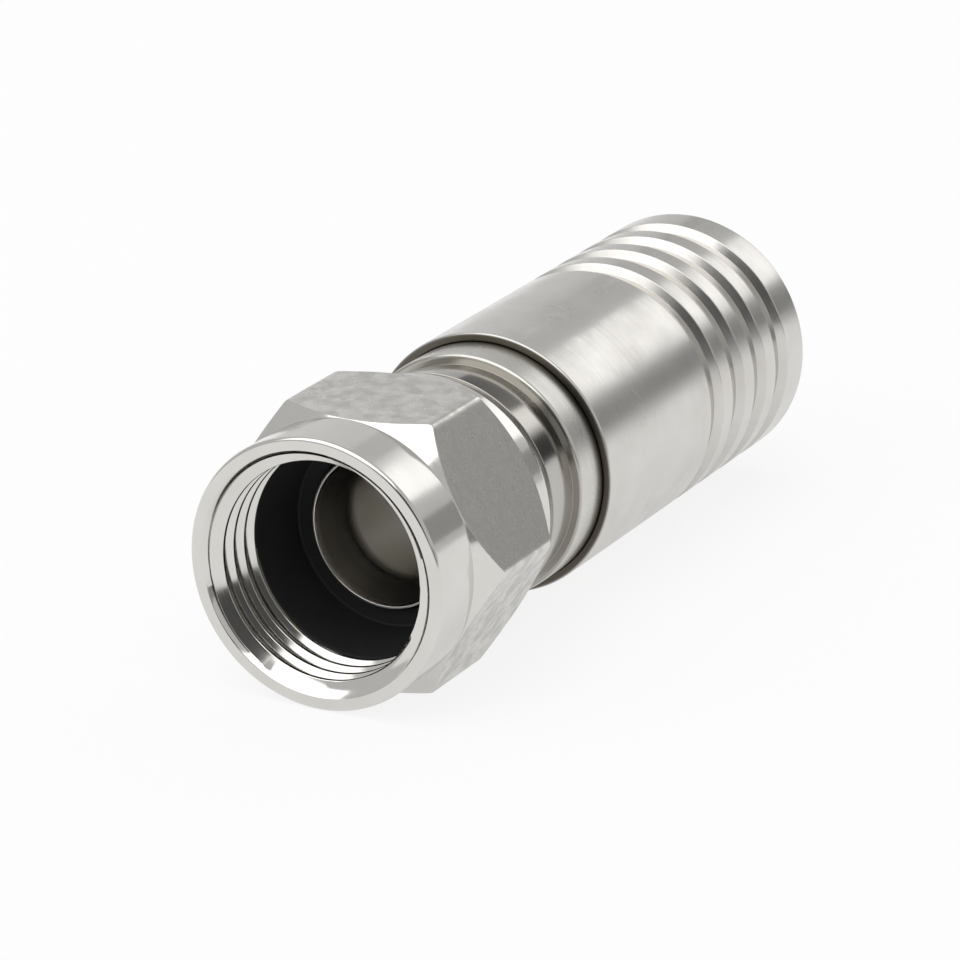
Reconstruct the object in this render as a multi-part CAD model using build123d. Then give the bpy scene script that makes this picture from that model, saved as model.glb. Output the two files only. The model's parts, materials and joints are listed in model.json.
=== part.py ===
from build123d import *
import math
import os

# F-type coaxial compression connector, lying on a flat of its coupling nut.
# Millimetres. The connector's axis is X, the nut's mouth is at X = 0 and the cable leaves towards +X.

# Coupling nut
thread_major_radius = 4.7625
thread_depth = 0.40
thread_length = 2.65
mouth_bevel_depth = 0.45
mouth_bevel_height = 0.26
nut_wall = 0.7925
nut_rim_break = 0.15
collar_relief = 0.02
collar_length = 2.60
hex_cone_angle = 41.0
hex_corner_round = 0.25
skirt_length = 1.40
skirt_relief = 0.305
skirt_wall = 0.50
skirt_taper_length = 0.55
skirt_taper = 0.15
skirt_end_break = 0.05
shoulder_length = 1.35

# Port seal
seal_pocket_depth = 0.19
seal_length = 3.20
seal_front_wall = 0.49
seal_rear_wall = 0.92
seal_web_thickness = 0.55
seal_lip_break = 0.15

# Inner post
flange_thickness = 1.00
flange_overlap = 0.50
flange_insertion_clearance = 0.1125
flange_recess_clearance = 0.20
shank_shoulder = 0.28
press_length = 4.10
press_wall = 0.97
post_wall = 0.35
lip_length = 1.00
lip_height = 0.77
lip_width = 0.12
countersink_depth = 0.62
countersink_break = 0.25
barb_length = 1.40
barb_height = 0.35
post_overhang = 0.60

# Connector body
seal_seat_length = 1.27
neck_length = 2.35
neck_depth = 0.07
neck_taper = 0.25
ring_length = 1.83
ring_front_break = 0.20
barrel_length = 5.70
cavity_wall = 1.02
barrel_wall = 0.55
barrel_lead_in = 0.15
barrel_end_break = 0.15

# Swivel seal ring
swivel_seal_height = 0.80
swivel_seal_break = 0.20

# Compression sleeve
sleeve_relief = 0.025
sleeve_wall = 0.28
sleeve_rear_wall = 0.68
sleeve_edge_break = 0.06
compressed_gap = 1.00
groove_count = 4
groove_pitch = 2.13
groove_width = 1.20
groove_flank = 0.18
groove_depth = 0.35
groove_setback = 0.25
end_land = 1.66
end_lip_length = 0.95
end_lip_height = 0.25

# Grip ferrule
ferrule_wall = 0.40
nose_insertion = 0.50
nose_taper_length = 0.80
nose_taper = 0.15
nose_grip_height = 0.12
bore_setback = 0.50
ferrule_lead_in = 0.20

# Clearances between pieces
swivel_clearance = 0.05
swivel_end_play = 0.05
seal_end_gap = 0.10
lip_clearance = 0.10
swivel_seal_clearance = 0.07
swivel_seal_gap = 0.07
neck_gap = 0.07
slide_clearance = 0.08
nose_clearance = 0.12
stop_gap = 0.15
press_clearance = 0.01

# Radii of the nut and of the post that it turns on, from the thread inwards and outwards
flat_radius = thread_major_radius + nut_wall
corner_radius = flat_radius / math.cos(math.radians(30))
collar_radius = flat_radius - collar_relief
mouth_bevel_radius = thread_major_radius + mouth_bevel_height
seal_pocket_radius = thread_major_radius + seal_pocket_depth
flange_radius = thread_major_radius - thread_depth - flange_insertion_clearance
flange_recess_radius = flange_radius + flange_recess_clearance
shoulder_bore_radius = flange_radius - flange_overlap
shank_radius = shoulder_bore_radius - swivel_clearance
skirt_radius = flat_radius - skirt_relief
skirt_bore_radius = skirt_radius - skirt_wall
seal_seat_radius = skirt_bore_radius - swivel_seal_clearance - swivel_seal_height
press_radius = shank_radius - shank_shoulder
post_bore_radius = press_radius - press_wall
tube_radius = post_bore_radius + post_wall
lip_radius = post_bore_radius + lip_height

# Radii of the sleeve and of the body that it slides on, from the outside inwards
sleeve_radius = flat_radius - sleeve_relief
sleeve_bore_radius = sleeve_radius - sleeve_wall
body_radius = sleeve_bore_radius - slide_clearance
neck_radius = body_radius - neck_depth
barrel_bore_radius = body_radius - barrel_wall
nose_radius = barrel_bore_radius - nose_clearance
ferrule_bore_radius = nose_radius - ferrule_wall
rear_bore_radius = sleeve_radius - sleeve_rear_wall

# Stations along the axis, from the nut's mouth
x_thread = mouth_bevel_depth
x_seal = x_thread + thread_length
x_seal_seat = x_seal + seal_length
x_flange = x_seal_seat + seal_end_gap
x_flange_rear = x_flange + flange_thickness
x_shoulder = x_flange_rear + swivel_end_play
x_shoulder_rear = x_shoulder + shoulder_length
x_body = x_shoulder_rear + swivel_end_play
x_neck = x_body + seal_seat_length
x_nut_end = x_neck - neck_gap
x_press_end = x_body + press_length
x_ring = x_neck + neck_length
x_sleeve = x_ring + ring_length
x_body_end = x_sleeve + barrel_length
compression_travel = x_sleeve - x_nut_end - compressed_gap
x_step = x_body_end + compression_travel + stop_gap
x_groove = x_step + groove_setback
x_sleeve_end = x_groove + (groove_count - 1) * groove_pitch + groove_width + end_land
x_end_lip = x_sleeve_end - end_lip_length
x_nose = x_body_end - nose_insertion
x_barrel_bore = x_nose - compression_travel - stop_gap
x_post_end = x_body_end + post_overhang
x_grip = x_post_end + bore_setback


def turned(*corners):
    """Revolve a half section about X; each corner is a station, a radius and the size of its edge break."""
    outline = []
    for index, (station, radius, edge_break) in enumerate(corners):
        corner = Vector(station, 0, radius)
        if edge_break == 0:
            outline.append(corner)
            continue
        for beside in (corners[index - 1], corners[(index + 1) % len(corners)]):
            towards = (Vector(beside[0], 0, beside[1]) - corner).normalized()
            outline.append(corner + towards * edge_break)
    section = make_face(Polyline(*outline, close=True))
    return revolve(section, Axis.X)


def coupling_nut():
    """Hex nut, turned with a collar, coned ends and a tapered skirt, bored for thread, seal and swivel."""
    cone_slope = math.tan(math.radians(hex_cone_angle))
    x_cone_rear = x_nut_end - skirt_length
    blank = turned(
        (0, mouth_bevel_radius, 0),
        (0, collar_radius, nut_rim_break),
        (collar_length, collar_radius, 0),
        (collar_length + (corner_radius - collar_radius) / cone_slope, corner_radius, 0),
        (x_cone_rear - (corner_radius - skirt_radius) / cone_slope, corner_radius, 0),
        (x_cone_rear, skirt_radius, 0),
        (x_nut_end - skirt_taper_length, skirt_radius, 0),
        (x_nut_end, skirt_radius - skirt_taper, skirt_end_break),
        (x_nut_end, skirt_bore_radius, 0),
        (x_shoulder_rear, skirt_bore_radius, 0),
        (x_shoulder_rear, shoulder_bore_radius, 0),
        (x_shoulder, shoulder_bore_radius, 0),
        (x_shoulder, flange_recess_radius, 0),
        (x_seal_seat, flange_recess_radius, 0),
        (x_seal_seat, seal_pocket_radius, 0),
        (x_seal, seal_pocket_radius, 0),
        (x_seal, thread_major_radius, 0),
        (x_thread, thread_major_radius, 0),
    )
    hexagon = RegularPolygon(flat_radius, 6, major_radius=False)
    hexagon = fillet(hexagon.vertices(), hex_corner_round)
    bar = extrude(Plane.YZ * hexagon, x_nut_end)
    return blank & bar


def port_seal():
    """Rubber ring in the nut's pocket, with a narrowing bore and a web that closes round the post's lip."""
    outer_radius = seal_pocket_radius - press_clearance
    web_radius = lip_radius + lip_clearance
    x_web = x_seal_seat - seal_web_thickness
    return turned(
        (x_seal, outer_radius - seal_front_wall, seal_lip_break),
        (x_seal, outer_radius, 0),
        (x_seal_seat, outer_radius, 0),
        (x_seal_seat, web_radius, 0),
        (x_web, web_radius, 0),
        (x_web, outer_radius - seal_rear_wall, 0),
    )


def inner_post():
    """Tube that guides the cable's core, with a contact lip, a flange that traps the nut, and a barb."""
    x_lip = x_flange - lip_length
    return turned(
        (x_lip, lip_radius - lip_width, 0),
        (x_lip, lip_radius, 0),
        (x_flange, lip_radius, 0),
        (x_flange, flange_radius, 0),
        (x_flange_rear, flange_radius, 0),
        (x_flange_rear, shank_radius, 0),
        (x_body, shank_radius, 0),
        (x_body, press_radius, 0),
        (x_press_end, press_radius, 0),
        (x_press_end, tube_radius, 0),
        (x_post_end - barb_length, tube_radius, 0),
        (x_post_end - barb_length, tube_radius + barb_height, 0),
        (x_post_end, post_bore_radius + post_wall / 2, 0),
        (x_post_end, post_bore_radius, 0),
        (x_lip + countersink_depth, post_bore_radius, countersink_break),
    )


def connector_body():
    """Body pressed on the post: seal seat, waisted neck, shoulder ring and thin barrel inside the sleeve."""
    press_bore_radius = press_radius + press_clearance
    cavity_radius = body_radius - cavity_wall
    return turned(
        (x_body, press_bore_radius, 0),
        (x_body, seal_seat_radius, 0),
        (x_neck, seal_seat_radius, 0),
        (x_neck, neck_radius, 0),
        (x_ring, neck_radius - neck_taper, 0),
        (x_ring, body_radius, ring_front_break),
        (x_body_end, body_radius, barrel_end_break),
        (x_body_end, barrel_bore_radius + barrel_lead_in, 0),
        (x_body_end - 2 * barrel_lead_in, barrel_bore_radius, 0),
        (x_barrel_bore, barrel_bore_radius, 0),
        (x_barrel_bore, cavity_radius, 0),
        (x_press_end, cavity_radius, 0),
        (x_press_end, press_bore_radius, 0),
    )


def swivel_seal():
    """Square-cut rubber ring on the body's front seat, inside the nut's skirt."""
    inner_radius = seal_seat_radius + press_clearance
    outer_radius = skirt_bore_radius - swivel_seal_clearance
    x_front = x_body + swivel_seal_gap
    x_rear = x_neck - swivel_seal_gap
    return turned(
        (x_front, inner_radius, 0),
        (x_front, outer_radius, swivel_seal_break),
        (x_rear, outer_radius, swivel_seal_break),
        (x_rear, inner_radius, 0),
    )


def compression_sleeve():
    """Long tube over the body, thin at the front, grooved outside and lipped inside at the rear."""
    grooves = []
    for index in range(groove_count):
        x_start = x_groove + index * groove_pitch
        x_stop = x_start + groove_width
        floor_radius = sleeve_radius - groove_depth
        grooves += [
            (x_start, sleeve_radius, 0),
            (x_start + groove_flank, floor_radius, 0),
            (x_stop - groove_flank, floor_radius, 0),
            (x_stop, sleeve_radius, 0),
        ]
    return turned(
        (x_sleeve, sleeve_bore_radius, 0),
        (x_sleeve, sleeve_radius, sleeve_edge_break),
        *grooves,
        (x_sleeve_end, sleeve_radius, sleeve_edge_break),
        (x_sleeve_end, ferrule_bore_radius + end_lip_height, sleeve_edge_break),
        (x_end_lip, ferrule_bore_radius + end_lip_height, 0),
        (x_end_lip, rear_bore_radius, 0),
        (x_step, rear_bore_radius, 0),
        (x_step, sleeve_bore_radius, 0),
    )


def grip_ferrule():
    """Moulded ring behind the sleeve's end lip, with a thin gripping nose that enters the body's barrel."""
    outer_radius = rear_bore_radius - press_clearance
    return turned(
        (x_nose, ferrule_bore_radius - nose_grip_height, 0),
        (x_nose, nose_radius - nose_taper, 0),
        (x_nose + nose_taper_length, nose_radius, 0),
        (x_step, nose_radius, 0),
        (x_step, outer_radius, 0),
        (x_end_lip, outer_radius, 0),
        (x_end_lip, ferrule_bore_radius + ferrule_lead_in, 0),
        (x_end_lip - 2 * ferrule_lead_in, ferrule_bore_radius, 0),
        (x_grip, ferrule_bore_radius, 0),
    )


pieces = {
    "coupling_nut": coupling_nut(),
    "port_seal": port_seal(),
    "inner_post": inner_post(),
    "connector_body": connector_body(),
    "swivel_seal": swivel_seal(),
    "compression_sleeve": compression_sleeve(),
    "grip_ferrule": grip_ferrule(),
}
os.makedirs("parts", exist_ok=True)
for name, piece in pieces.items():
    export_step(piece, f"parts/{name}.step")
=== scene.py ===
import json
import math

import bmesh
import bpy
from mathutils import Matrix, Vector


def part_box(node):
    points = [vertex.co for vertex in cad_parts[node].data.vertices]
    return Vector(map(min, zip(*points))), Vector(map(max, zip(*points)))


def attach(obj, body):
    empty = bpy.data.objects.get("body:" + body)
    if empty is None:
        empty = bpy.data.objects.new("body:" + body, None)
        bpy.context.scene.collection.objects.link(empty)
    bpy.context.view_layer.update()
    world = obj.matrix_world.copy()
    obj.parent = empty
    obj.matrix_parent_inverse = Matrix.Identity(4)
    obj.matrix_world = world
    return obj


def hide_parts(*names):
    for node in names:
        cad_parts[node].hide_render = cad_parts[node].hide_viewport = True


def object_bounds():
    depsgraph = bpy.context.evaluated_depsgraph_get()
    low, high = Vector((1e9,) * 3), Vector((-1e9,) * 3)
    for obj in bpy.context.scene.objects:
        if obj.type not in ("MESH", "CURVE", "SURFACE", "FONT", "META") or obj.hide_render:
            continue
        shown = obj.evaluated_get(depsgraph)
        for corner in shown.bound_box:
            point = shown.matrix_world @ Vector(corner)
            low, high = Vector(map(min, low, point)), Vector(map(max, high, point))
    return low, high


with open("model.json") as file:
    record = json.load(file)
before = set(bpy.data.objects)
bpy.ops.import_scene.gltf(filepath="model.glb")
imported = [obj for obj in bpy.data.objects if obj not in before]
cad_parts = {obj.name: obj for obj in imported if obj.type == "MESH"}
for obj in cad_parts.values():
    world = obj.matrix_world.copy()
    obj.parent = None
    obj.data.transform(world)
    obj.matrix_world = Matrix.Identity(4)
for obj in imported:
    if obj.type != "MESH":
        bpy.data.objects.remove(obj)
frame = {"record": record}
cad_low, cad_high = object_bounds()


# Inner post: a brass tube turned on a lathe and nickel plated. Its thin lip touches the port, its
# flange traps the nut, the body is pressed on behind it, and its barb goes under the cable's braid.
# Every turned piece is a half section that a node tree spins about the connector's axis, X.
MM = 0.001
WELD = 0.0001 * MM
MATH = "ShaderNodeMath"
ARC_STEPS = 4
CORNER_SHARE = 0.45
ARC_SHARE = 0.8
SUPPORT = 0.015


def lathe_section(corners, closed=True, arc_steps=ARC_STEPS):
    """Points of a half section in metres, from corners of station, radius and edge rounding in mm.

    A corner takes up at most CORNER_SHARE of its shorter side, and its arc ARC_SHARE of that. One more
    point SUPPORT mm beside the arc keeps the shading of the straight side straight.
    """
    points = []
    for index, (station, radius, rounding) in enumerate(corners):
        corner = Vector((station, 0, radius)) * MM
        if not closed and index in (0, len(corners) - 1):
            points.append(corner)
            continue
        before = corners[index - 1]
        after = corners[(index + 1) % len(corners)]
        back = Vector((before[0], 0, before[1])) * MM - corner
        ahead = Vector((after[0], 0, after[1])) * MM - corner
        room = CORNER_SHARE * min(back.length, ahead.length)
        half_angle = back.angle(ahead) / 2
        reach = min(rounding * MM / math.tan(half_angle), ARC_SHARE * room)
        beside = reach + min(SUPPORT * MM, (1 - ARC_SHARE) * room)
        back.normalize()
        ahead.normalize()
        centre = corner + (back + ahead).normalized() * reach / math.cos(half_angle)
        first = corner + back * reach - centre
        last = corner + ahead * reach - centre
        sweep = first.angle(last)
        points.append(corner + back * beside)
        for step in range(arc_steps + 1):
            share = step / arc_steps
            first_part = first * math.sin((1 - share) * sweep)
            last_part = last * math.sin(share * sweep)
            points.append(centre + (first_part + last_part) / math.sin(sweep))
        points.append(corner + ahead * beside)
    if closed:
        points.append(points[0])
    return points


def add_node(tree, kind, inputs=None, **settings):
    """Add one node; inputs holds a value or the socket that feeds it for each input's name or number."""
    node = tree.nodes.new(kind)
    for name, value in settings.items():
        setattr(node, name, value)
    for key, value in (inputs or {}).items():
        if isinstance(value, bpy.types.NodeSocket):
            tree.links.new(value, node.inputs[key])
        else:
            node.inputs[key].default_value = value
    return node


def unrolled_grid(tree, rows, columns):
    """A flat grid that is still to be wrapped round X, with each point's row and its share of a turn."""
    across = add_node(tree, MATH, {0: columns, 1: 1.0}, operation="ADD").outputs[0]
    grid = add_node(tree, "GeometryNodeMeshGrid", {"Vertices X": rows, "Vertices Y": across})
    index = add_node(tree, "GeometryNodeInputIndex").outputs[0]
    place = add_node(tree, MATH, {0: index, 1: across}, operation="DIVIDE")
    row = add_node(tree, MATH, {0: place.outputs[0]}, operation="FLOOR")
    column = add_node(tree, MATH, {0: index, 1: across}, operation="MODULO")
    turn = add_node(tree, MATH, {0: column.outputs[0], 1: columns}, operation="DIVIDE")
    return grid.outputs["Mesh"], row.outputs[0], turn.outputs[0]


def wrapped_piece(tree, grid, station, radius, turn, surface):
    """Set a grid's points round X, close its seam and give the mesh its material."""
    angle = add_node(tree, MATH, {0: turn, 1: 2 * math.pi}, operation="MULTIPLY").outputs[0]
    sine = add_node(tree, MATH, {0: angle}, operation="SINE")
    cosine = add_node(tree, MATH, {0: angle}, operation="COSINE")
    sideways = add_node(tree, MATH, {0: radius, 1: sine.outputs[0]}, operation="MULTIPLY")
    right = add_node(tree, MATH, {0: sideways.outputs[0], 1: -1.0}, operation="MULTIPLY")
    up = add_node(tree, MATH, {0: radius, 1: cosine.outputs[0]}, operation="MULTIPLY")
    spot = add_node(tree, "ShaderNodeCombineXYZ", {"X": station, "Y": right.outputs[0], "Z": up.outputs[0]})
    placed = add_node(tree, "GeometryNodeSetPosition", {"Geometry": grid, "Position": spot.outputs[0]})
    welded = add_node(tree, "GeometryNodeMergeByDistance",
                      {"Geometry": placed.outputs[0], "Distance": WELD})
    smooth = add_node(tree, "GeometryNodeSetShadeSmooth", {"Geometry": welded.outputs[0]})
    real = add_node(tree, "GeometryNodeRealizeInstances", {"Geometry": smooth.outputs[0]})
    dressed = add_node(tree, "GeometryNodeSetMaterial", {"Geometry": real.outputs[0], "Material": surface})
    return dressed.outputs[0]


def spun_section_tree():
    """Spin a section about X; towards a hexagon's corners each point moves to its corner_point."""
    tree = bpy.data.node_groups.new("spun_section", "GeometryNodeTree")
    tree.interface.new_socket("Section", in_out="INPUT", socket_type="NodeSocketGeometry")
    tree.interface.new_socket("Columns", in_out="INPUT", socket_type="NodeSocketInt")
    for name in ("Flat Radius", "Corner Radius", "Corner Blend"):
        tree.interface.new_socket(name, in_out="INPUT", socket_type="NodeSocketFloat")
    tree.interface.new_socket("Surface", in_out="INPUT", socket_type="NodeSocketMaterial")
    tree.interface.new_socket("Piece", in_out="OUTPUT", socket_type="NodeSocketGeometry")
    sizes = add_node(tree, "NodeGroupInput").outputs
    rows = add_node(tree, "GeometryNodeAttributeDomainSize", {"Geometry": sizes["Section"]},
                    component="MESH")
    grid, row, turn = unrolled_grid(tree, rows.outputs["Point Count"], sizes["Columns"])
    angle = add_node(tree, MATH, {0: turn, 1: 2 * math.pi}, operation="MULTIPLY")
    position = add_node(tree, "GeometryNodeInputPosition")
    corner_point = add_node(tree, "GeometryNodeInputNamedAttribute", {"Name": "corner_point"},
                            data_type="FLOAT_VECTOR")
    sampled = []
    for source in (position, corner_point):
        at_row = {"Geometry": sizes["Section"], "Value": source.outputs[0], "Index": row}
        sample = add_node(tree, "GeometryNodeSampleIndex", at_row, data_type="FLOAT_VECTOR")
        sampled.append(sample.outputs[0])
    half_side = math.pi / 6
    in_side = add_node(tree, MATH, {0: angle.outputs[0], 1: half_side, 2: -half_side}, operation="WRAP")
    from_flat = add_node(tree, MATH, {0: in_side.outputs[0]}, operation="ABSOLUTE")
    from_next = add_node(tree, MATH, {0: 2 * half_side, 1: from_flat.outputs[0]}, operation="SUBTRACT")
    sides = []
    for side_angle in (from_flat, from_next):
        cosine = add_node(tree, MATH, {0: side_angle.outputs[0]}, operation="COSINE").outputs[0]
        side = add_node(tree, MATH, {0: sizes["Flat Radius"], 1: cosine}, operation="DIVIDE")
        sides.append(side.outputs[0])
    hexagon = add_node(tree, MATH, {0: sides[0], 1: sides[1], 2: sizes["Corner Blend"]},
                       operation="SMOOTH_MIN")
    share = add_node(tree, "ShaderNodeMapRange", {"Value": hexagon.outputs[0],
                                                  "From Min": sizes["Flat Radius"],
                                                  "From Max": sizes["Corner Radius"]})
    point = add_node(tree, "ShaderNodeMix", {0: share.outputs[0], 4: sampled[0], 5: sampled[1]},
                     data_type="VECTOR")
    parts = add_node(tree, "ShaderNodeSeparateXYZ", {0: point.outputs[1]}).outputs
    piece = wrapped_piece(tree, grid, parts["X"], parts["Z"], turn, sizes["Surface"])
    add_node(tree, "NodeGroupOutput", {"Piece": piece})
    return tree


def made_plain(piece, tree, sizes):
    """Run a node tree on a piece with these sizes and keep the result as a plain mesh."""
    modifier = piece.modifiers.new(tree.name, "NODES")
    modifier.node_group = tree
    for item in tree.interface.items_tree:
        if item.in_out == "INPUT" and item.name in sizes:
            modifier[item.identifier] = sizes[item.name]
    seen = piece.evaluated_get(bpy.context.evaluated_depsgraph_get())
    plain = bpy.data.meshes.new_from_object(seen)
    plain.materials.clear()
    plain.materials.append(sizes["Surface"])
    piece.modifiers.remove(modifier)
    piece.data = plain
    plain.name = piece.name


def faces_outwards(mesh):
    """Weld a closed mesh and turn its faces outwards."""
    shape = bmesh.new()
    shape.from_mesh(mesh)
    bmesh.ops.remove_doubles(shape, verts=shape.verts, dist=WELD)
    bmesh.ops.recalc_face_normals(shape, faces=shape.faces)
    shape.to_mesh(mesh)
    shape.free()


def section_object(name, section, corner_section=None):
    """A piece that is still only its section's points."""
    mesh = bpy.data.meshes.new(name)
    mesh.from_pydata(section, [], [])
    at_corner = mesh.attributes.new("corner_point", "FLOAT_VECTOR", "POINT")
    at_corner.data.foreach_set("vector", [value for point in corner_section or section for value in point])
    piece = bpy.data.objects.new(name, mesh)
    bpy.context.collection.objects.link(piece)
    return piece


def turned_piece(name, corners, surface, columns=200):
    """A closed round piece; with no corners, its two hexagon radii only have to differ."""
    piece = section_object(name, lathe_section(corners))
    made_plain(piece, spin_tree, {"Columns": columns, "Flat Radius": MM, "Corner Radius": 2 * MM,
                                  "Surface": surface})
    faces_outwards(piece.data)
    return piece


def linear(hex_colour):
    """An sRGB hex colour as the linear colour that a shader takes."""
    channels = [int(hex_colour[place:place + 2], 16) / 255 for place in (1, 3, 5)]
    return [c / 12.92 if c <= 0.04045 else ((c + 0.055) / 1.055) ** 2.4 for c in channels] + [1]


def new_material(name):
    """A material and its Principled shader."""
    material = bpy.data.materials.new(name)
    material.use_nodes = True
    return material, material.node_tree.nodes["Principled BSDF"]


def dress(tree, tone, rough, height, depth):
    """Give the Principled shader a tone, a roughness and a bump of this depth in mm."""
    bump = add_node(tree, "ShaderNodeBump", {"Strength": 1.0, "Distance": depth * MM, "Height": height})
    shader = tree.nodes["Principled BSDF"]
    for name, socket in (("Base Color", tone), ("Roughness", rough), ("Normal", bump.outputs[0])):
        tree.links.new(socket, shader.inputs[name])


# Nickel plate on turned brass: the tool leaves fine rings round the axis that spread a reflection
# along the piece, and the plate is a little cloudy, so its gloss changes over a few millimetres.
# Bands of painted shade darken it in recesses and at joints. The rings are drawn coarser than a lathe's
# feed, so that they show.
RING_SPACING = 0.15
RING_ROUGHNESS = 0.02
CLOUD_SIZE = 1.6


def turned_nickel(name, colour, shade, roughness, ring_depth, painted_shades=()):
    """Nickel over turned brass, sizes in mm; a band of painted shade is (measure, start, full, colour,
    roughness).
    """
    material, shader = new_material(name)
    shader.inputs["Metallic"].default_value = 1.0
    tree = material.node_tree
    where = add_node(tree, "ShaderNodeTexCoord").outputs["Object"]
    along = add_node(tree, "ShaderNodeSeparateXYZ", {0: where}).outputs["X"]
    spoke = add_node(tree, "ShaderNodeVectorMath", {0: where, 1: (0, 1, 1)}, operation="MULTIPLY")
    spoke_length = add_node(tree, "ShaderNodeVectorMath", {0: spoke.outputs[0]}, operation="LENGTH")
    radius = spoke_length.outputs["Value"]
    lay = add_node(tree, "ShaderNodeCombineXYZ", {"X": along, "Y": radius}).outputs[0]
    rings = add_node(tree, "ShaderNodeTexNoise", {"Vector": lay, "Scale": 1 / (RING_SPACING * MM),
                                                  "Detail": 1.0}).outputs[0]
    clouds = add_node(tree, "ShaderNodeTexNoise", {"Vector": where, "Scale": 1 / (CLOUD_SIZE * MM),
                                                   "Detail": 3.0}).outputs[0]
    tone = add_node(tree, "ShaderNodeMix", {0: clouds, 6: linear(colour), 7: linear(shade)},
                    data_type="RGBA").outputs[2]
    cloudy = add_node(tree, "ShaderNodeMapRange", {"Value": clouds, "From Min": 0.25, "From Max": 0.75,
                                                   "To Min": roughness[0], "To Max": roughness[1]})
    ringed = add_node(tree, "ShaderNodeMapRange", {"Value": rings, "From Min": 0.3, "From Max": 0.7,
                                                   "To Min": -RING_ROUGHNESS, "To Max": RING_ROUGHNESS})
    rough = add_node(tree, MATH, {0: cloudy.outputs[0], 1: ringed.outputs[0]}, operation="ADD").outputs[0]
    measures = {"station": along, "radius": radius}
    # Each band paints shade: from start to full along its measure, the tone and roughness blend to the
    # band's own.
    for measure, start, full, painted_shade_colour, painted_shade_roughness in painted_shades:
        share = add_node(tree, "ShaderNodeMapRange", {"Value": measures[measure], "From Min": start * MM,
                                                      "From Max": full * MM}).outputs[0]
        tone = add_node(tree, "ShaderNodeMix", {0: share, 6: tone, 7: linear(painted_shade_colour)},
                        data_type="RGBA").outputs[2]
        rough = add_node(tree, "ShaderNodeMix", {0: share, 2: rough, 3: painted_shade_roughness},
                         data_type="FLOAT").outputs[0]
    dress(tree, tone, rough, height=rings, depth=ring_depth)
    return material


spin_tree = spun_section_tree()
post_low, post_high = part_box("inner_post")
body_low, body_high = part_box("connector_body")
mounts = {mount["name"]: mount["dims"] for mount in frame["record"]["mounts"]}
lip_front = post_low.x / MM
flange_front = lip_front + 1.00
flange_rear = flange_front + 1.00
body_front = body_low.x / MM
press_end = body_front + 4.10
post_end = post_high.x / MM
barb_front = post_end - 1.40
funnel_end = lip_front + 1.80
flange_radius = post_high.z / MM
shank_radius = flange_radius - 0.55
press_radius = shank_radius - 0.28
core_radius = mounts["core_bore"]["r_mm"]
tube_radius = core_radius + 0.35
barb_radius = tube_radius + 0.35
lip_radius = core_radius + 0.77
lip_width = 0.12

# The funnel in the post's mouth is left from the drill and rougher than the reamed bore behind it, and its
# darker colour there is painted shade.
post_nickel = turned_nickel(
    "satin_nickel_on_turned_post", "#e8e6e3", "#dcdad6", roughness=(0.16, 0.24), ring_depth=0.0003,
    painted_shades=[
        ("station", lip_front + 0.05, lip_front + 0.30, "#a5a19a", 0.34),
        ("station", lip_front + 1.10, lip_front + 1.90, "#e4e2de", 0.24),
    ])
post = turned_piece("inner_post_turned", [
    (lip_front, lip_radius - lip_width, 0.03),
    (lip_front, lip_radius, 0.05),
    (flange_front, lip_radius, 0.05),
    (flange_front, flange_radius, 0.06),
    (flange_rear, flange_radius, 0.06),
    (flange_rear, shank_radius, 0.02),
    (body_front, shank_radius, 0.02),
    (body_front, press_radius, 0.02),
    (press_end, press_radius, 0.08),
    (press_end, tube_radius, 0.04),
    (barb_front, tube_radius, 0.04),
    (barb_front, barb_radius, 0.04),
    (post_end, (core_radius + tube_radius) / 2, 0.05),
    (post_end, core_radius, 0.05),
    (funnel_end, core_radius, 2.00),
], post_nickel)
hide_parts("inner_post")
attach(post, "body")


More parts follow.
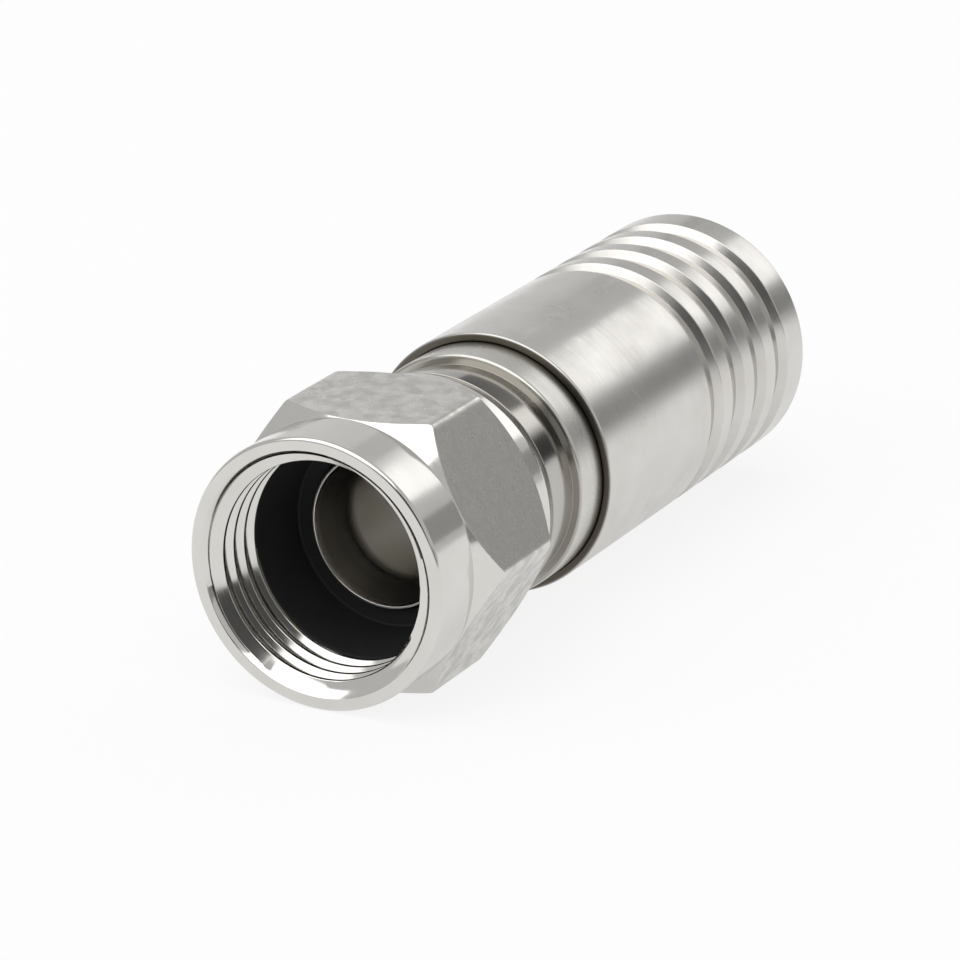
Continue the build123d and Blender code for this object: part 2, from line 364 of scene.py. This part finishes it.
# Coupling nut: hexagon brass bar, turned to leave a round collar, coned ends and a thin skirt, then
# bored, threaded and nickel plated. It is put over the post before the body and turns behind the flange.
# The thread is cut inside as a helix of 32 turns to the inch, and its first crest runs out in the mouth.
def thread_tree():
    """Wind one tooth's section into a thread, with a bevelled start and a short run-out at its end."""
    tree = bpy.data.node_groups.new("cut_thread", "GeometryNodeTree")
    tree.interface.new_socket("Tooth", in_out="INPUT", socket_type="NodeSocketGeometry")
    for name in ("Columns", "Turns"):
        tree.interface.new_socket(name, in_out="INPUT", socket_type="NodeSocketInt")
    for name in ("Pitch", "Mouth", "Start", "End", "Root Radius", "Bevel Slope", "Run-out"):
        tree.interface.new_socket(name, in_out="INPUT", socket_type="NodeSocketFloat")
    tree.interface.new_socket("Surface", in_out="INPUT", socket_type="NodeSocketMaterial")
    tree.interface.new_socket("Thread", in_out="OUTPUT", socket_type="NodeSocketGeometry")
    sizes = add_node(tree, "NodeGroupInput").outputs
    tooth = add_node(tree, "GeometryNodeAttributeDomainSize", {"Geometry": sizes["Tooth"]},
                     component="MESH")
    per_tooth = tooth.outputs["Point Count"]
    rows = add_node(tree, MATH, {0: per_tooth, 1: sizes["Turns"], 2: 1.0}, operation="MULTIPLY_ADD")
    grid, row, turn = unrolled_grid(tree, rows.outputs[0], sizes["Columns"])
    in_tooth = add_node(tree, MATH, {0: row, 1: per_tooth}, operation="MODULO")
    passed = add_node(tree, MATH, {0: row, 1: per_tooth}, operation="DIVIDE")
    teeth = add_node(tree, MATH, {0: passed.outputs[0]}, operation="FLOOR")
    position = add_node(tree, "GeometryNodeInputPosition")
    at_row = {"Geometry": sizes["Tooth"], "Value": position.outputs[0], "Index": in_tooth.outputs[0]}
    point = add_node(tree, "GeometryNodeSampleIndex", at_row, data_type="FLOAT_VECTOR")
    parts = add_node(tree, "ShaderNodeSeparateXYZ", {0: point.outputs[0]}).outputs
    wound = add_node(tree, MATH, {0: teeth.outputs[0], 1: turn}, operation="ADD")
    from_first = add_node(tree, MATH, {0: wound.outputs[0], 1: 1.0}, operation="SUBTRACT")
    lead = add_node(tree, MATH, {0: from_first.outputs[0], 1: sizes["Pitch"], 2: parts["X"]},
                    operation="MULTIPLY_ADD")
    free = add_node(tree, MATH, {0: lead.outputs[0], 1: sizes["Start"]}, operation="ADD")
    station = add_node(tree, "ShaderNodeClamp", {"Value": free.outputs[0], "Min": sizes["Mouth"],
                                                 "Max": sizes["End"]}).outputs[0]
    left = add_node(tree, MATH, {0: sizes["End"], 1: station}, operation="SUBTRACT")
    kept = add_node(tree, MATH, {0: left.outputs[0], 1: sizes["Run-out"]}, operation="DIVIDE",
                    use_clamp=True)
    height = add_node(tree, MATH, {0: parts["Z"], 1: kept.outputs[0]}, operation="MULTIPLY")
    crest = add_node(tree, MATH, {0: sizes["Root Radius"], 1: height.outputs[0]}, operation="SUBTRACT")
    inside = add_node(tree, MATH, {0: station, 1: sizes["Mouth"]}, operation="SUBTRACT")
    cut = add_node(tree, MATH, {0: inside.outputs[0], 1: sizes["Bevel Slope"]}, operation="MULTIPLY")
    bevel = add_node(tree, MATH, {0: sizes["Root Radius"], 1: cut.outputs[0]}, operation="SUBTRACT")
    radius = add_node(tree, MATH, {0: crest.outputs[0], 1: bevel.outputs[0]}, operation="MAXIMUM")
    thread = wrapped_piece(tree, grid, station, radius.outputs[0], turn, sizes["Surface"])
    add_node(tree, "NodeGroupOutput", {"Thread": thread})
    return tree


nut_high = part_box("coupling_nut")[1]
seal_low, seal_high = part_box("port_seal")
nut_end = nut_high.x / MM
flat_radius = nut_high.z / MM
thread_radius = mounts["port_thread"]["r_mm"]
seal_front = seal_low.x / MM
thread_start = seal_front - mounts["port_thread"]["length_mm"]
seal_seat = seal_high.x / MM
pocket_radius = thread_radius + 0.19
recess_radius = flange_radius + 0.20
swivel_clearance = 0.05
shank_bore = shank_radius + swivel_clearance
shoulder_front = flange_rear + swivel_clearance
shoulder_rear = shoulder_front + 1.35
collar_radius = flat_radius - 0.02
collar_end = 2.60
mouth_radius = thread_radius + 0.26
mouth_depth = 0.17
root_radius = thread_radius + 0.08
skirt_radius = collar_radius - 0.285
skirt_bore = skirt_radius - 0.50
skirt_front = nut_end - 1.40
taper_front = nut_end - 0.55
taper_radius = skirt_radius - 0.15
cone_angle = math.radians(41)
cone_slope = math.tan(cone_angle)
corner_blend = 0.232
# Where two flats meet, the blend takes a sixth of its own size off the corner.
corner_radius = flat_radius / math.cos(math.pi / 6) - corner_blend / 6
NUT_COLUMNS = 360


def nut_outline(hex_radius):
    """Corners of the nut's section, from the thread's end round the outside to the thread's start."""
    front_rise = (hex_radius - collar_radius) / cone_slope
    rear_rise = (hex_radius - skirt_radius) / cone_slope
    return [
        (seal_front, root_radius, 0),
        (seal_front, pocket_radius, 0.02),
        (seal_seat, pocket_radius, 0.02),
        (seal_seat, recess_radius, 0.03),
        (shoulder_front, recess_radius, 0.03),
        (shoulder_front, shank_bore, 0.03),
        (shoulder_rear, shank_bore, 0.03),
        (shoulder_rear, skirt_bore, 0.03),
        (nut_end, skirt_bore, 0.05),
        (nut_end, taper_radius, 0.06),
        (taper_front, skirt_radius, 0.30),
        (skirt_front, skirt_radius, 0.10),
        (skirt_front - rear_rise, hex_radius, 0.06),
        (collar_end + front_rise, hex_radius, 0.06),
        (collar_end, collar_radius, 0.05),
        (0, collar_radius, 0.16),
        (0, mouth_radius, 0.05),
        (mouth_depth, root_radius, 0),
    ]


nut_nickel = turned_nickel("bright_nickel_on_turned_nut", "#dedcd8", "#d3d1cc", roughness=(0.10, 0.15),
                           ring_depth=0.0002)
nut = section_object("coupling_nut_turned", lathe_section(nut_outline(flat_radius), closed=False),
                     lathe_section(nut_outline(corner_radius), closed=False))
made_plain(nut, spin_tree, {"Columns": NUT_COLUMNS, "Flat Radius": flat_radius * MM,
                            "Corner Blend": corner_blend * MM, "Corner Radius": corner_radius * MM,
                            "Surface": nut_nickel})

# The thread's flanks lean 30 degrees, and its root is an eighth of the pitch wide. It is wound from
# outside the mouth, where the bevel cuts it off.
THREAD_TURNS = 6
inch = 25.4
turns_per_inch = 32
thread_pitch = inch / turns_per_inch
winding_start = thread_start - thread_pitch
run_out = 0.03
bevel_slope = 2.5
tooth_height = 0.46
flank_run = tooth_height * math.tan(math.radians(30))
root_half = thread_pitch / 16
tooth_section = lathe_section([
    (0, 0, 0),
    (root_half, 0, 0.03),
    (root_half + flank_run, tooth_height, 0.04),
    (thread_pitch - root_half - flank_run, tooth_height, 0.04),
    (thread_pitch - root_half, 0, 0.03),
    (thread_pitch, 0, 0),
], closed=False, arc_steps=2)
thread = section_object("nut_thread", tooth_section[:-1])
made_plain(thread, thread_tree(), {"Columns": NUT_COLUMNS, "Turns": THREAD_TURNS,
                                   "Pitch": thread_pitch * MM, "Mouth": mouth_depth * MM,
                                   "Start": winding_start * MM, "End": seal_front * MM,
                                   "Root Radius": root_radius * MM, "Run-out": run_out * MM,
                                   "Bevel Slope": bevel_slope, "Surface": nut_nickel})
shape = bmesh.new()
shape.from_mesh(nut.data)
shape.from_mesh(thread.data)
shape.to_mesh(nut.data)
shape.free()
bpy.data.objects.remove(thread)
faces_outwards(nut.data)

# Milled flats under the same plate: the cutter leaves a faint patchy skin, in patches of about half a
# millimetre, so a flat is duller than the turned collar and its reflection is mottled.
MOTTLE_SIZE = 0.60
FLAT_TILT = 0.02
FLAT_MARGIN = 0.002
milled_nickel, shader = new_material("bright_nickel_on_milled_flats")
shader.inputs["Metallic"].default_value = 1.0
tree = milled_nickel.node_tree
where = add_node(tree, "ShaderNodeTexCoord").outputs["Object"]
mottle = add_node(tree, "ShaderNodeTexNoise", {"Vector": where, "Scale": 1 / (MOTTLE_SIZE * MM),
                                               "Detail": 1.5}).outputs[0]
patchy = add_node(tree, "ShaderNodeMapRange", {"Value": mottle, "From Min": 0.35, "From Max": 0.65})
tone = add_node(tree, "ShaderNodeMix", {0: patchy.outputs[0], 6: linear("#dad8d3"), 7: linear("#c6c4bf")},
                data_type="RGBA")
rough = add_node(tree, "ShaderNodeMapRange", {"Value": mottle, "From Min": 0.3, "From Max": 0.7,
                                              "To Min": 0.22, "To Max": 0.34})
dress(tree, tone.outputs[2], rough.outputs[0], height=mottle, depth=0.0008)
nut.data.materials.append(milled_nickel)
for face in nut.data.polygons:
    from_axis = math.hypot(face.center.y, face.center.z)
    if abs(face.normal.x) < FLAT_TILT and from_axis > (flat_radius - FLAT_MARGIN) * MM:
        face.material_index = 1
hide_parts("coupling_nut")
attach(nut, "nut")


# Port seal: a moulded black rubber ring, pushed into the nut's pocket behind the thread. Its bore
# narrows towards the post, and it closes on the port when the nut is screwed home.
BLOOM_SIZE = 1.2
BLOOM_ROUGHNESS = 0.08
GRAIN_SIZE = 0.08


def black_rubber(name, roughness):
    """Moulded rubber: near black, dull, with a soft bloom and the faint grain of its mould."""
    material, shader = new_material(name)
    shader.inputs["IOR"].default_value = 1.52
    tree = material.node_tree
    where = add_node(tree, "ShaderNodeTexCoord").outputs["Object"]
    bloom = add_node(tree, "ShaderNodeTexNoise", {"Vector": where, "Scale": 1 / (BLOOM_SIZE * MM),
                                                  "Detail": 4.0}).outputs[0]
    grain = add_node(tree, "ShaderNodeTexNoise", {"Vector": where, "Scale": 1 / (GRAIN_SIZE * MM),
                                                  "Detail": 2.0}).outputs[0]
    tone = add_node(tree, "ShaderNodeMix", {0: bloom, 6: linear("#1b1b1d"), 7: linear("#26262a")},
                    data_type="RGBA")
    rough = add_node(tree, "ShaderNodeMapRange", {"Value": bloom, "To Min": roughness - BLOOM_ROUGHNESS,
                                                  "To Max": roughness + BLOOM_ROUGHNESS})
    dress(tree, tone.outputs[2], rough.outputs[0], height=grain, depth=0.002)
    return material


seal_radius = seal_high.z / MM
seal_mouth_bore = seal_radius - 0.49
seal_throat_bore = seal_radius - 0.92
web_front = seal_seat - 0.55
web_bore = lip_radius + 0.10
seal_rubber = black_rubber("moulded_black_rubber", 0.72)
seal = turned_piece("port_seal_moulded", [
    (seal_front, seal_mouth_bore, 0.18),
    (seal_front, seal_radius, 0.05),
    (seal_seat, seal_radius, 0.05),
    (seal_seat, web_bore, 0.03),
    (web_front, web_bore, 0.04),
    (web_front, seal_throat_bore, 0.10),
], seal_rubber)
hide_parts("port_seal")
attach(seal, "nut")


# Swivel seal: a small square-cut rubber ring on the body's front seat, under the nut's skirt. It keeps
# water out of the swivel and drags a little, so that the nut doesn't rattle.
swivel_low, swivel_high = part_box("swivel_seal")
swivel_front = swivel_low.x / MM
swivel_rear = swivel_high.x / MM
swivel_radius = swivel_high.z / MM
swivel_seal_bore = swivel_radius - 0.79
swivel_rubber = black_rubber("square_cut_black_rubber", 0.65)
swivel = turned_piece("swivel_seal_moulded", [
    (swivel_front, swivel_seal_bore, 0.05),
    (swivel_front, swivel_radius, 0.25),
    (swivel_rear, swivel_radius, 0.25),
    (swivel_rear, swivel_seal_bore, 0.05),
], swivel_rubber, columns=120)
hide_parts("swivel_seal")
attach(swivel, "body")


# Connector body: a turned and plated brass tube, pressed on the post behind the nut. A waisted neck
# and a shoulder ring show outside, and a thin barrel runs on inside the sleeve.
sleeve_low, sleeve_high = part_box("compression_sleeve")
sleeve_front = sleeve_low.x / MM
body_radius = body_high.z / MM
body_end = body_high.x / MM
press_bore = press_radius + 0.01
seat_radius = skirt_bore - 0.87
neck_front = body_front + 1.27
neck_radius = body_radius - 0.07
waist_radius = body_radius - 0.42
ring_front = neck_front + 2.35
barrel_bore = body_radius - 0.55
barrel_mouth = barrel_bore + 0.15
barrel_taper_front = body_end - 0.30
cavity_radius = body_radius - 1.02
cavity_rear = body_end - 3.90

# Painted shade darkens and browns the neck and every surface under the ring's radius, which are also
# glossier, and darkens the ring's edge at the joint with the sleeve.
body_nickel = turned_nickel(
    "bright_nickel_on_turned_body", "#d8d6d1", "#cdcbc5", roughness=(0.24, 0.34), ring_depth=0.0002,
    painted_shades=[
        # Painted shade in the neck's recess: darker, browner colour below the ring's radius.
        ("radius", body_radius - 0.02, neck_radius, "#b4b1ab", 0.14),
        # Painted shade and reflection on the ring just in front of the sleeve's face.
        ("station", sleeve_front - 0.35, sleeve_front, "#5c5852", 0.30),
    ])
body = turned_piece("connector_body_turned", [
    (body_front, press_bore, 0.02),
    (body_front, seat_radius, 0.06),
    (neck_front, seat_radius, 0.02),
    (neck_front, neck_radius, 0.04),
    (ring_front, waist_radius, 0.01),
    (ring_front, body_radius, 0.26),
    (body_end, body_radius, 0.15),
    (body_end, barrel_mouth, 0.04),
    (barrel_taper_front, barrel_bore, 0.05),
    (cavity_rear, barrel_bore, 0.05),
    (cavity_rear, cavity_radius, 0.05),
    (press_end, cavity_radius, 0.05),
    (press_end, press_bore, 0.03),
], body_nickel)
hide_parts("connector_body")
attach(body, "body")


# Grip ferrule: a moulded ring of natural acetal behind the sleeve's end lip. Its thin nose is driven
# into the body's barrel with the sleeve, closes on the cable's jacket and holds it.
ferrule_low, ferrule_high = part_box("grip_ferrule")
nose_front = ferrule_low.x / MM
nose_taper_end = nose_front + 0.80
ferrule_end = ferrule_high.x / MM
rear_taper_front = ferrule_end - 0.40
ferrule_radius = ferrule_high.z / MM
entry_radius = mounts["cable_entry"]["r_mm"]
entry_taper_end = post_end + 0.50
nose_radius = entry_radius + 0.40
nose_tip_radius = nose_radius - 0.15
nose_bore = entry_radius - 0.12
rear_bore = entry_radius + 0.20
sleeve_step = body_end + 3.40

# Natural acetal, moulded: a milky white that lets a little light in, with a low sheen and a fine skin.
FLOW_SIZE = 2.5
SKIN_SIZE = 0.12
acetal, shader = new_material("moulded_natural_acetal")
shader.inputs["IOR"].default_value = 1.48
shader.inputs["Subsurface Weight"].default_value = 0.15
shader.inputs["Subsurface Radius"].default_value = (0.6 * MM, 0.6 * MM, 0.5 * MM)
shader.inputs["Subsurface Scale"].default_value = 1.0
tree = acetal.node_tree
where = add_node(tree, "ShaderNodeTexCoord").outputs["Object"]
flow = add_node(tree, "ShaderNodeTexNoise", {"Vector": where, "Scale": 1 / (FLOW_SIZE * MM),
                                             "Detail": 3.0}).outputs[0]
skin = add_node(tree, "ShaderNodeTexNoise", {"Vector": where, "Scale": 1 / (SKIN_SIZE * MM),
                                             "Detail": 2.0}).outputs[0]
tone = add_node(tree, "ShaderNodeMix", {0: flow, 6: linear("#f1efe9"), 7: linear("#e5e2da")},
                data_type="RGBA")
rough = add_node(tree, "ShaderNodeMapRange", {"Value": flow, "To Min": 0.34, "To Max": 0.48})
dress(tree, tone.outputs[2], rough.outputs[0], height=skin, depth=0.002)
ferrule = turned_piece("grip_ferrule_moulded", [
    (nose_front, nose_bore, 0.04),
    (nose_front, nose_tip_radius, 0.06),
    (nose_taper_end, nose_radius, 0.20),
    (sleeve_step, nose_radius, 0.05),
    (sleeve_step, ferrule_radius, 0.05),
    (ferrule_end, ferrule_radius, 0.05),
    (ferrule_end, rear_bore, 0.06),
    (rear_taper_front, entry_radius, 0.08),
    (entry_taper_end, entry_radius, 0.20),
], acetal, columns=160)
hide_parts("grip_ferrule")
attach(ferrule, "sleeve")


# Compression sleeve: a long tube of satin nickel-plated brass that slides on the body. It is thin in
# front, and has four flat-bottomed grip grooves at the rear and a turned-in lip that drives the ferrule.
GROOVES = 4
sleeve_end = sleeve_high.x / MM
sleeve_radius = sleeve_high.z / MM
sleeve_bore = sleeve_radius - 0.28
front_bore = body_radius + 0.03
front_lip_end = sleeve_front + 0.30
relief_front = front_lip_end + 0.10
ferrule_seat = ferrule_radius + 0.01
end_bore = entry_radius + 0.25
groove_pitch = 2.13
groove_width = 1.20
groove_radius = sleeve_radius - 0.35
groove_flank = 0.18
first_groove = sleeve_step + 0.25
groove_corners = []
for number in range(GROOVES):
    groove_front = first_groove + number * groove_pitch
    groove_rear = groove_front + groove_width
    groove_corners += [
        (groove_front, sleeve_radius, 0.06),
        (groove_front + groove_flank, groove_radius, 0.04),
        (groove_rear - groove_flank, groove_radius, 0.02),
        (groove_rear, sleeve_radius, 0.04),
    ]

# The sleeve's front face is darkened with painted shade like the ring beside it, and its rounded edge stays
# bright.
sleeve_nickel = turned_nickel(
    "satin_nickel_on_turned_sleeve", "#dad8d4", "#cecbc6", roughness=(0.18, 0.28), ring_depth=0.0002,
    painted_shades=[("station", sleeve_front + 0.05, sleeve_front, "#635e56", 0.30)])
sleeve = turned_piece("compression_sleeve_turned", [
    (sleeve_front, front_bore, 0.01),
    (sleeve_front, sleeve_radius, 0.20),
    *groove_corners,
    (sleeve_end, sleeve_radius, 0.12),
    (sleeve_end, end_bore, 0.12),
    (ferrule_end, end_bore, 0.03),
    (ferrule_end, ferrule_seat, 0.02),
    (sleeve_step, ferrule_seat, 0.02),
    (sleeve_step, sleeve_bore, 0.02),
    (relief_front, sleeve_bore, 0.02),
    (front_lip_end, front_bore, 0.01),
], sleeve_nickel)
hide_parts("compression_sleeve")
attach(sleeve, "sleeve")


# Table and light: a plain white table, a broad soft box overhead and a smaller one behind the sleeve.
# Grey and white cards stand round the object, and the metal shows them as its dark and light streaks.
# The table is white to the camera and to the metal, and it keeps the object's shadow.
CAMERA_WHITE = 0.85
MIRROR_WHITE = 0.6
TABLE_SIZE = 6.0
STUDIO_GREY = (0.6, 0.6, 0.6, 1)


def white_table():
    """Paper white that the camera and the metal see as white, with the object's shadow left in."""
    material, shader = new_material("white_paper_table")
    tree = material.node_tree
    tree.nodes.remove(shader)
    paper = add_node(tree, "ShaderNodeBsdfDiffuse", {"Color": linear("#f2f2f2")})
    white = add_node(tree, "ShaderNodeEmission", {"Color": (1, 1, 1, 1), "Strength": 1.0})
    path = add_node(tree, "ShaderNodeLightPath").outputs
    mirrored = add_node(tree, MATH, {0: path["Is Glossy Ray"], 1: path["Is Transmission Ray"]},
                        operation="MAXIMUM")
    seen = add_node(tree, MATH, {0: path["Is Camera Ray"], 1: CAMERA_WHITE}, operation="MULTIPLY")
    share = add_node(tree, MATH, {0: mirrored.outputs[0], 1: MIRROR_WHITE, 2: seen.outputs[0]},
                     operation="MULTIPLY_ADD")
    mixed = add_node(tree, "ShaderNodeMixShader", {0: share.outputs[0], 1: paper.outputs[0],
                                                   2: white.outputs[0]})
    tree.links.new(mixed.outputs[0], tree.nodes["Material Output"].inputs["Surface"])
    return material


def board(name, colour):
    """Matt card in one flat grey."""
    material, shader = new_material(name)
    shader.inputs["Base Color"].default_value = linear(colour)
    shader.inputs["Roughness"].default_value = 0.9
    return material


def stage_card(name, centre, aim, width, height, material):
    """A flat rectangle of the studio, facing a point."""
    mesh = bpy.data.meshes.new(name)
    across, tall = width / 2, height / 2
    mesh.from_pydata([(-across, -tall, 0), (across, -tall, 0), (across, tall, 0), (-across, tall, 0)], [],
                     [(0, 1, 2, 3)])
    card = bpy.data.objects.new(name, mesh)
    card.location = centre
    card.rotation_euler = (Vector(aim) - Vector(centre)).to_track_quat("Z", "Y").to_euler()
    mesh.materials.append(material)
    bpy.context.collection.objects.link(card)


def soft_box(name, centre, aim, side, brightness):
    """A square soft box whose face has this brightness, where 1 is white."""
    lamp = bpy.data.lights.new(name, "AREA")
    lamp.shape = "RECTANGLE"
    lamp.size = side
    lamp.size_y = side
    lamp.energy = brightness * math.pi * side * side
    box = bpy.data.objects.new(name, lamp)
    box.location = centre
    box.rotation_euler = (Vector(aim) - Vector(centre)).to_track_quat("-Z", "Y").to_euler()
    bpy.context.collection.objects.link(box)


middle = (cad_low + cad_high) / 2
table_top = (0, 0, cad_low.z)
stage_card("table", table_top, (0, 0, 1), TABLE_SIZE, TABLE_SIZE, white_table())
for name, centre, width, height, grey in (
    ("right_card", (0.36, -0.22, 0.075), 0.20, 0.09, "#a2a2a2"),
    ("near_card", (-0.30, -0.75, 0.08), 0.60, 0.16, "#9a9a9a"),
    ("front_card", (-0.38, -0.124, 0.125), 0.28, 0.30, "#585858"),
    ("low_back_card", (0.407, 0.065, 0.075), 0.18, 0.16, "#7a7a7a"),
    ("lamp_foot", (0.404, -0.116, 0.033), 0.133, 0.075, "#404040"),
    ("left_card", (0.36, 0.30, 0.16), 0.40, 0.34, "#f4f4f4"),
):
    stage_card(name, centre, middle, width, height, board("matt_board_of_" + name, grey))
soft_box("overhead_box", (-0.42, 0.12, 0.85), middle, side=1.35, brightness=1.3)
soft_box("back_box", (0.807, -0.186, 0.352), middle, side=0.37, brightness=0.86)
world = bpy.data.worlds.new("grey_studio")
world.use_nodes = True
world.node_tree.nodes["Background"].inputs["Color"].default_value = STUDIO_GREY
bpy.context.scene.world = world


# Camera: a long lens in front of the nut, to the left of the axis and a little above it, as fitted to
# the photograph's outline. No shift and no depth of field.
view_azimuth = math.radians(-62.01)
view_elevation = math.radians(20.06)
view_target = Vector((0.01185, -0.00088, 0.00023))
view_distance = 0.200
towards_camera = Vector((math.sin(view_azimuth) * math.cos(view_elevation),
                         -math.cos(view_azimuth) * math.cos(view_elevation), math.sin(view_elevation)))
lens = bpy.data.cameras.new("long_lens")
lens.sensor_width = 36.0
lens.lens = 187.0
lens.clip_start = 0.01
camera = bpy.data.objects.new("camera", lens)
camera.location = view_target + towards_camera * view_distance
camera.rotation_euler = towards_camera.to_track_quat("Z", "Y").to_euler()
bpy.context.collection.objects.link(camera)
bpy.context.scene.camera = camera
bpy.context.scene.view_settings.view_transform = "Standard"
